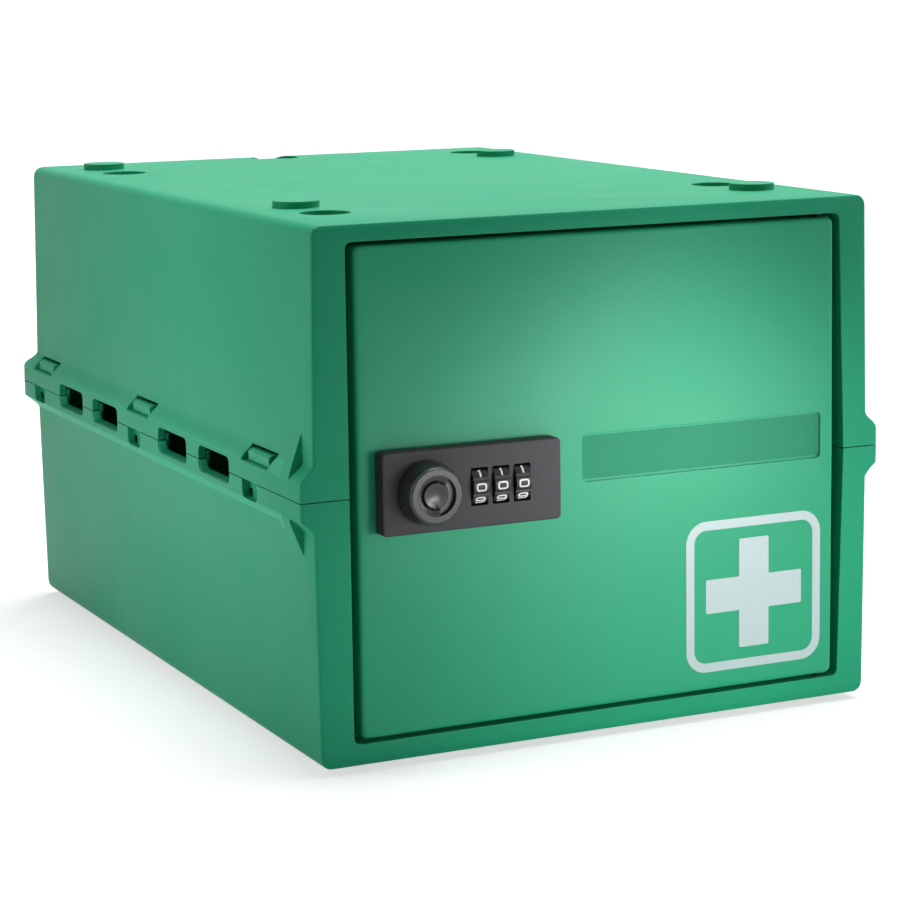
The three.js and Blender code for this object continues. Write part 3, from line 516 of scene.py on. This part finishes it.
nodeFinishes = {
    "shell": ["upper_shell", "lower_shell"],
    "door": ["door_panel"],
    "housing": ["lock_bezel", "lock_case"],
    "knob": ["knob", "knob_cap"],
    "dial": ["dial_1", "dial_2", "dial_3"],
    "pin": ["hinge_pin_top", "hinge_pin_bottom"],
    "steel": [
        "lock_screw_1", "lock_screw_2", "lock_screw_3", "lock_screw_4",
        "dial_spindle", "detent_spring", "cam_latch", "cam_washer", "cam_screw",
    ],
    "zinc": ["knob_spindle"],
    "brass": ["code_sleeve_1", "code_sleeve_2", "code_sleeve_3"],
}

for finish, names in nodeFinishes.items():
    for name in names:
        for place in nodes[name].material_slots:
            place.material = finishes[finish]
print("finishes ready:", len(finishes))


# Smooth shading over the CAD facets, with the real edges kept sharp

shading = {"sharpAngle": 24, "weld": 0.000002}


def makeSmoothShading(facts):
    tree = bpy.data.node_groups.new("smoothShading", "GeometryNodeTree")
    for way in ("INPUT", "OUTPUT"):
        tree.interface.new_socket("Geometry", in_out=way, socket_type="NodeSocketGeometry")
    work = NodeTree(tree)
    given = work.add("NodeGroupInput").outputs[0]
    out = work.add("NodeGroupOutput").inputs[0]
    bare = work.add("GeometryNodeRemoveAttribute")
    work.feed(bare, Geometry=given, Name="custom_normal")
    merged = work.add("GeometryNodeMergeByDistance")
    work.feed(merged, Geometry=bare.outputs[0], Distance=facts["weld"])
    faces = work.add("GeometryNodeSetShadeSmooth", domain="FACE")
    work.link(merged.outputs[0], faces.inputs[0])
    faces.inputs["Shade Smooth"].default_value = True
    angle = work.add("GeometryNodeInputMeshEdgeAngle")
    soft = work.add("FunctionNodeCompare", data_type="FLOAT", operation="LESS_THAN")
    work.link(angle.outputs["Unsigned Angle"], soft.inputs[0])
    soft.inputs[1].default_value = math.radians(facts["sharpAngle"])
    edges = work.add("GeometryNodeSetShadeSmooth", domain="EDGE")
    work.link(faces.outputs[0], edges.inputs[0])
    work.link(soft.outputs[0], edges.inputs["Shade Smooth"])
    work.link(edges.outputs[0], out)
    return tree


smoothShading = makeSmoothShading(shading)
for item in nodes.values():
    item.modifiers.new("smoothShading", "NODES").node_group = smoothShading
print("shading smoothed")


# Shapes for the pieces that the scene adds

def arcPoints(centre, radius, start, end, steps):
    turns = [math.radians(start + (end - start) * index / steps) for index in range(steps + 1)]
    return [(centre[0] + radius * math.cos(turn), centre[1] + radius * math.sin(turn)) for turn in turns]


def roundedRectangle(left, right, low, high, radius, steps):
    corners = [
        (right - radius, high - radius, 0),
        (left + radius, high - radius, 90),
        (left + radius, low + radius, 180),
        (right - radius, low + radius, 270),
    ]
    return [point for x, z, start in corners for point in arcPoints((x, z), radius, start, start + 90, steps)]


def shortSteps(path, longest):
    # The same path with no step longer than the given one, so that it can follow a curved face
    steps = [path[0]]
    for first, last in zip(path, path[1:]):
        count = max(1, math.ceil(math.dist(first, last) / longest))
        for index in range(1, count + 1):
            share = index / count
            steps.append(tuple(start + (end - start) * share for start, end in zip(first, last)))
    return steps


def strokeShapes(path, width, corners):
    # One four-sided shape for each length of the stroke, and a nearly round one at each point
    shapes = []
    half, shortest = width / 2, 1e-9
    for first, last in zip(path, path[1:]):
        along = Vector(last) - Vector(first)
        if along.length < shortest:
            continue
        side = Vector((-along.y, along.x)).normalized() * half
        ends = (Vector(first) - side, Vector(last) - side, Vector(last) + side, Vector(first) + side)
        shapes.append([tuple(point) for point in ends])
    for point in path:
        shapes.append(arcPoints(point, half, 0, 360 - 360 / corners, corners - 1))
    return shapes


def unionPlate(shapes):
    # Triangles of everything that at least one of the shapes covers
    points, faces = [], []
    trianglesInside, tolerance = 1, 1e-7
    for shape in shapes:
        start = len(points)
        points += [Vector(point) for point in shape]
        faces.append(list(range(start, len(points))))
    flat, _, triangles, _, _, covers = delaunay_2d_cdt(points, [], faces, trianglesInside, tolerance)
    return [tuple(point) for point in flat], [tuple(face) for face, cover in zip(triangles, covers) if cover]


def ringPlate(outer, inner):
    count = len(outer)
    faces = []
    for index in range(count):
        after = (index + 1) % count
        faces.append((index, after, count + after))
        faces.append((index, count + after, count + index))
    return outer + inner, faces


def newItem(name, vertices, faces, material):
    mesh = bpy.data.meshes.new(name)
    mesh.from_pydata(vertices, [], faces)
    mesh.validate()
    mesh.update()
    mesh.materials.append(material)
    item = bpy.data.objects.new(name, mesh)
    bpy.context.scene.collection.objects.link(item)
    return item


def solidPlates(name, plates, bodyName, finish):
    # Each plate is (points, triangles, front, back): front and back turn a flat point into a place
    vertices, faces = [], []
    for points, triangles, front, back in plates:
        start, count = len(vertices), len(points)
        vertices += [front(*point) for point in points] + [back(*point) for point in points]
        rim = {}
        for face in triangles:
            faces.append(tuple(start + index for index in face))
            faces.append(tuple(start + count + index for index in reversed(face)))
            for first, last in zip(face, face[1:] + face[:1]):
                if (last, first) in rim:
                    del rim[(last, first)]
                else:
                    rim[(first, last)] = True
        for first, last in rim:
            faces.append((start + last, start + first, start + count + first, start + count + last))
    item = newItem(name, vertices, faces, finishes[finish])
    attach(item, bodyName)


# First-aid sign printed on the door

sign = {
    "centre": (0.0554, 0.0412),
    "face": -0.1386,
    "width": 0.0509,
    "height": 0.0500,
    "corner": 0.0073,
    "cornerSteps": 10,
    "line": 0.0030,
    "armLength": 0.0362,
    "armWidth": 0.0112,
    "armCorner": 0.0005,
    "armCornerSteps": 3,
    "stand": 0.00006,
    "sunk": 0.00003,
}


def makeSign(facts):
    x, z = facts["centre"]

    def outline(width, height, corner, steps):
        return roundedRectangle(x - width / 2, x + width / 2, z - height / 2, z + height / 2, corner, steps)

    def front(u, v):
        return (u, facts["face"] - facts["stand"], v)

    def back(u, v):
        return (u, facts["face"] + facts["sunk"], v)

    width, height, corner, line = facts["width"], facts["height"], facts["corner"], facts["line"]
    outer = outline(width, height, corner, facts["cornerSteps"])
    inner = outline(width - 2 * line, height - 2 * line, corner - line, facts["cornerSteps"])
    sides = (facts["armLength"], facts["armWidth"])
    arms = [outline(*pair, facts["armCorner"], facts["armCornerSteps"]) for pair in (sides, sides[::-1])]
    plates = [(*ringPlate(outer, inner), front, back), (*unionPlate(arms), front, back)]
    solidPlates("first_aid_sign", plates, "door", "sign")


makeSign(sign)
print("sign printed")


# Sloping sills in the belt's windows, moulded on the lower shell. The shells' own windows are plain
# Measures are from the middle of the windows along the side, and from the seam in height

sills = {
    "middle": 0.0119,
    "seam": 0.0857,
    "offsets": (-0.076, -0.036, 0.036, 0.076),
    "outer": {"x": 0.1030, "halfWidth": 0.01425, "bottom": -0.00405, "corner": 0.0026},
    "inner": {"x": 0.1003, "halfWidth": 0.0135, "bottom": -0.0031, "corner": 0.0024},
    "top": -0.0003,
    "cornerSteps": 6,
}


def sillPath(facts, middle, outline):
    # From the seam down one side, along the bottom and up the other side
    half, low, radius = outline["halfWidth"], outline["bottom"], outline["corner"]
    corners = arcPoints((middle - half + radius, low + radius), radius, 180, 270, facts["cornerSteps"])
    corners += arcPoints((middle + half - radius, low + radius), radius, 270, 360, facts["cornerSteps"])
    return [(middle - half, facts["top"]), *corners, (middle + half, facts["top"])]


def makeSills(facts):
    outer, inner = facts["outer"], facts["inner"]
    vertices, faces = [], []
    for side in (-1, 1):
        for offset in facts["offsets"]:
            middle = facts["middle"] + offset
            start = len(vertices)
            mouth, throat = sillPath(facts, middle, outer), sillPath(facts, middle, inner)
            count = len(mouth)
            for x, path in ((outer["x"], mouth), (inner["x"], throat), (inner["x"], mouth)):
                vertices += [(side * x, y, facts["seam"] + z) for y, z in path]
            rows = [start, start + count, start + 2 * count]
            for index in range(count - 1):
                for row, after in zip(rows, rows[1:] + rows[:1]):
                    face = (row + index, row + index + 1, after + index + 1, after + index)
                    faces.append(face if side < 0 else face[::-1])
            for index in (0, count - 1):
                face = tuple(row + index for row in rows)
                faces.append(face if (index == 0) == (side < 0) else face[::-1])
    item = newItem("window_sills", vertices, faces, finishes["shell"])
    item.modifiers.new("smoothShading", "NODES").node_group = smoothShading
    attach(item, "base")


makeSills(sills)
print("window sills made")


# Digits printed on the dials, 0 in front and counting upwards

digits = {
    "width": 0.0035,
    "height": 0.0026,
    "stroke": 0.00056,
    "strokeCorners": 8,
    "step": 0.0006,
    "boxCorner": 0.22,
    "boxCornerSteps": 2,
    "stand": 0.00003,
    "sunk": 0.00005,
}


def digitPaths(facts):
    # Strokes of 0 to 9 in a square of side 1, with v upwards
    def box(low, high, left=0.0, right=1.0):
        points = roundedRectangle(left, right, low, high, facts["boxCorner"], facts["boxCornerSteps"])
        return points + points[:1]

    def arc(u, v, radius, start, end, steps):
        return arcPoints((u, v), radius, start, end, steps)

    two = [
        (0.0, 0.80), *arc(0.25, 0.75, 0.25, 150, 90, 3), *arc(0.75, 0.75, 0.25, 90, -30, 5),
        (0.0, 0.0), (1.0, 0.0),
    ]
    three = [
        (0.0, 1.0), (0.95, 1.0), (0.48, 0.60), *arc(0.72, 0.30, 0.29, 80, -90, 7),
        (0.22, 0.0), (0.0, 0.14),
    ]
    five = [
        (0.95, 1.0), (0.08, 1.0), (0.04, 0.56), *arc(0.70, 0.30, 0.30, 90, -90, 7),
        (0.22, 0.0), (0.0, 0.12),
    ]
    return [
        [box(0.0, 1.0)],
        [[(0.42, 0.92), (0.52, 1.0), (0.52, 0.0)]],
        [two],
        [three],
        [[(0.78, 0.0), (0.78, 1.0), (0.0, 0.28), (1.0, 0.28)]],
        [five],
        [[(0.90, 1.0), (0.30, 1.0), *arc(0.25, 0.75, 0.25, 110, 180, 3), (0.0, 0.28)], box(0.0, 0.56)],
        [[(0.0, 1.0), (1.0, 1.0), (0.36, 0.0)]],
        [box(0.0, 0.54), box(0.54, 1.0, 0.06, 0.94)],
        [box(0.44, 1.0), [(1.0, 0.72), *arc(0.75, 0.25, 0.25, 0, -70, 3), (0.10, 0.0)]],
    ]


def makeDialDigits(dialName, facts):
    low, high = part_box(dialName)
    middle = (low + high) / 2
    radius = (high.y - low.y) / 2
    stroke = facts["stroke"]
    width, height = facts["width"] - stroke, facts["height"] - stroke

    def wrapped(reach, turn):
        def place(u, v):
            angle = turn + v / radius
            return (middle.x + u, middle.y - reach * math.cos(angle), middle.z + reach * math.sin(angle))
        return place

    plates = []
    allPaths = digitPaths(facts)
    for digit, paths in enumerate(allPaths):
        shapes = []
        for path in paths:
            placed = [((u - 0.5) * width, (v - 0.5) * height) for u, v in path]
            shapes += strokeShapes(shortSteps(placed, facts["step"]), stroke, facts["strokeCorners"])
        turn = math.tau * digit / len(allPaths)
        front, back = wrapped(radius + facts["stand"], turn), wrapped(radius - facts["sunk"], turn)
        plates.append((*unionPlate(shapes), front, back))
    solidPlates(dialName + "_digits", plates, dialName, "digits")


for dialName in ("dial_1", "dial_2", "dial_3"):
    makeDialDigits(dialName, digits)
print("digits printed")


# Floor, world and lamps

studio = {
    "floorReach": 30.0,
    "floorRings": 12,
    "floorSpokes": 64,
    "floorColor": (0.68, 0.68, 0.68, 1.0),
    "floorDark": 0.995,
    "floorCloudScale": 3.0,
    "floorRoughness": 0.9,
    "floorGloss": 0.1,
    "nearGlow": 0.60,
    "farGlow": 1.0,
    "glowStart": 0.25,
    "glowEnd": 1.1,
    "white": (1.0, 1.0, 1.0, 1.0),
    "worldLight": 0.03,
    "backdropLight": 1.0,
}

# Soft boxes over and beside the box, and one low beside its left side
softboxes = {
    "topSoftbox": {
        "place": (0.38, 0.16, 1.6), "aim": (0.0, 0.0, 0.1), "size": (1.2, 1.2), "power": 32.0,
    },
    "leftFloorGlow": {
        "place": (-0.30, -0.04, 0.004), "aim": (-0.10, -0.04, 0.03), "size": (0.1, 0.64), "power": 0.60,
    },
    "knobStrip": {
        "place": (0.36, -0.238, 0.12), "aim": (-0.068, -0.15, 0.0868), "size": (0.09, 0.26), "power": 0.2,
    },
    "rightSoftbox": {
        "place": (1.1, -0.57, 0.48), "aim": (-0.07, -0.15, 0.085), "size": (0.28, 0.34), "power": 0.35,
    },
}

# Shaded lamps that pool their light on the door
spots = {
    "doorSpot": {
        "place": (0.235, -0.50, 0.194), "aim": (0.017, -0.1386, 0.106),
        "spread": 16.3, "size": 0.03, "power": 3.3,
    },
    "lowDoorSpot": {
        "place": (0.20, -0.50, 0.07), "aim": (0.026, -0.1386, 0.052),
        "spread": 33.0, "size": 0.03, "power": 3.3,
    },
    "lowLeftSpot": {
        "place": (0.10, -0.55, 0.06), "aim": (-0.01, -0.1386, 0.02),
        "spread": 60.0, "size": 0.04, "power": 1.1,
    },
}


def seenRays(work):
    # 1 for what the camera sees, directly, in a reflection or through something clear
    rays = work.add("ShaderNodeLightPath").outputs
    clear = work.math("MAXIMUM", rays["Is Glossy Ray"], rays["Is Transmission Ray"])
    return work.math("MAXIMUM", rays["Is Camera Ray"], clear)


def floorMaterial(facts):
    material, work, shader, place = newMaterial("floorWhite")
    cloud = work.noise(place, facts["floorCloudScale"], detail=2.0, roughness=0.5)
    tone = work.mixColor(cloud, shade(facts["floorColor"], facts["floorDark"]), facts["floorColor"])
    # Where it is seen the floor glows a little, and far from the box it is as white as the backdrop
    away = work.add("ShaderNodeVectorMath", operation="LENGTH")
    work.link(place, away.inputs[0])
    reach, glows = (facts["glowStart"], facts["glowEnd"]), (facts["nearGlow"], facts["farGlow"])
    glow = work.math("MULTIPLY", seenRays(work), work.between(away.outputs["Value"], *reach, *glows))
    work.feed(shader, Base_Color=tone, Emission_Strength=glow)
    shader.inputs["Emission Color"].default_value = facts["white"]
    shader.inputs["Roughness"].default_value = facts["floorRoughness"]
    shader.inputs["Specular IOR Level"].default_value = facts["floorGloss"]
    return material


def makeFloor(facts):
    # A round sheet whose rings grow wider outwards
    rings, spokes = facts["floorRings"], facts["floorSpokes"]
    turns = [math.tau * spoke / spokes for spoke in range(spokes)]
    vertices = [(0.0, 0.0, 0.0)]
    for ring in range(1, rings + 1):
        radius = facts["floorReach"] * (ring / rings) ** 2
        vertices += [(radius * math.cos(turn), radius * math.sin(turn), 0.0) for turn in turns]

    def at(ring, spoke):
        return 1 + (ring - 1) * spokes + spoke % spokes

    faces = [(0, at(1, spoke), at(1, spoke + 1)) for spoke in range(spokes)]
    for ring in range(1, rings):
        for spoke in range(spokes):
            faces.append((at(ring, spoke), at(ring + 1, spoke), at(ring + 1, spoke + 1), at(ring, spoke + 1)))
    item = newItem("floor", vertices, faces, floorMaterial(facts))


def makeWorld(facts):
    world = bpy.data.worlds.new("studioWorld")
    bpy.context.scene.world = world
    world.use_nodes = True
    work = NodeTree(world.node_tree)
    strength = work.between(seenRays(work), 0.0, 1.0, facts["worldLight"], facts["backdropLight"])
    background = work.add("ShaderNodeBackground")
    work.feed(background, Color=facts["white"], Strength=strength)
    work.link(background.outputs[0], work.add("ShaderNodeOutputWorld").inputs["Surface"])


def makeLamp(name, kind, facts):
    data = bpy.data.lights.new(name, kind)
    data.energy = facts["power"]
    if kind == "AREA":
        data.shape = "RECTANGLE"
        data.size, data.size_y = facts["size"]
    else:
        data.shadow_soft_size = facts["size"]
        data.spot_size = math.radians(facts["spread"])
        data.spot_blend = 1.0
    item = bpy.data.objects.new(name, data)
    bpy.context.scene.collection.objects.link(item)
    item.visible_camera = False
    item.location = facts["place"]
    item.rotation_mode = "QUATERNION"
    item.rotation_quaternion = (Vector(facts["aim"]) - Vector(facts["place"])).to_track_quat("-Z", "Y")


makeFloor(studio)
makeWorld(studio)
for kind, lamps in (("AREA", softboxes), ("SPOT", spots)):
    for lampName, lampFacts in lamps.items():
        makeLamp(lampName, kind, lampFacts)
bpy.context.scene.view_settings.view_transform = "Standard"
print("studio ready")
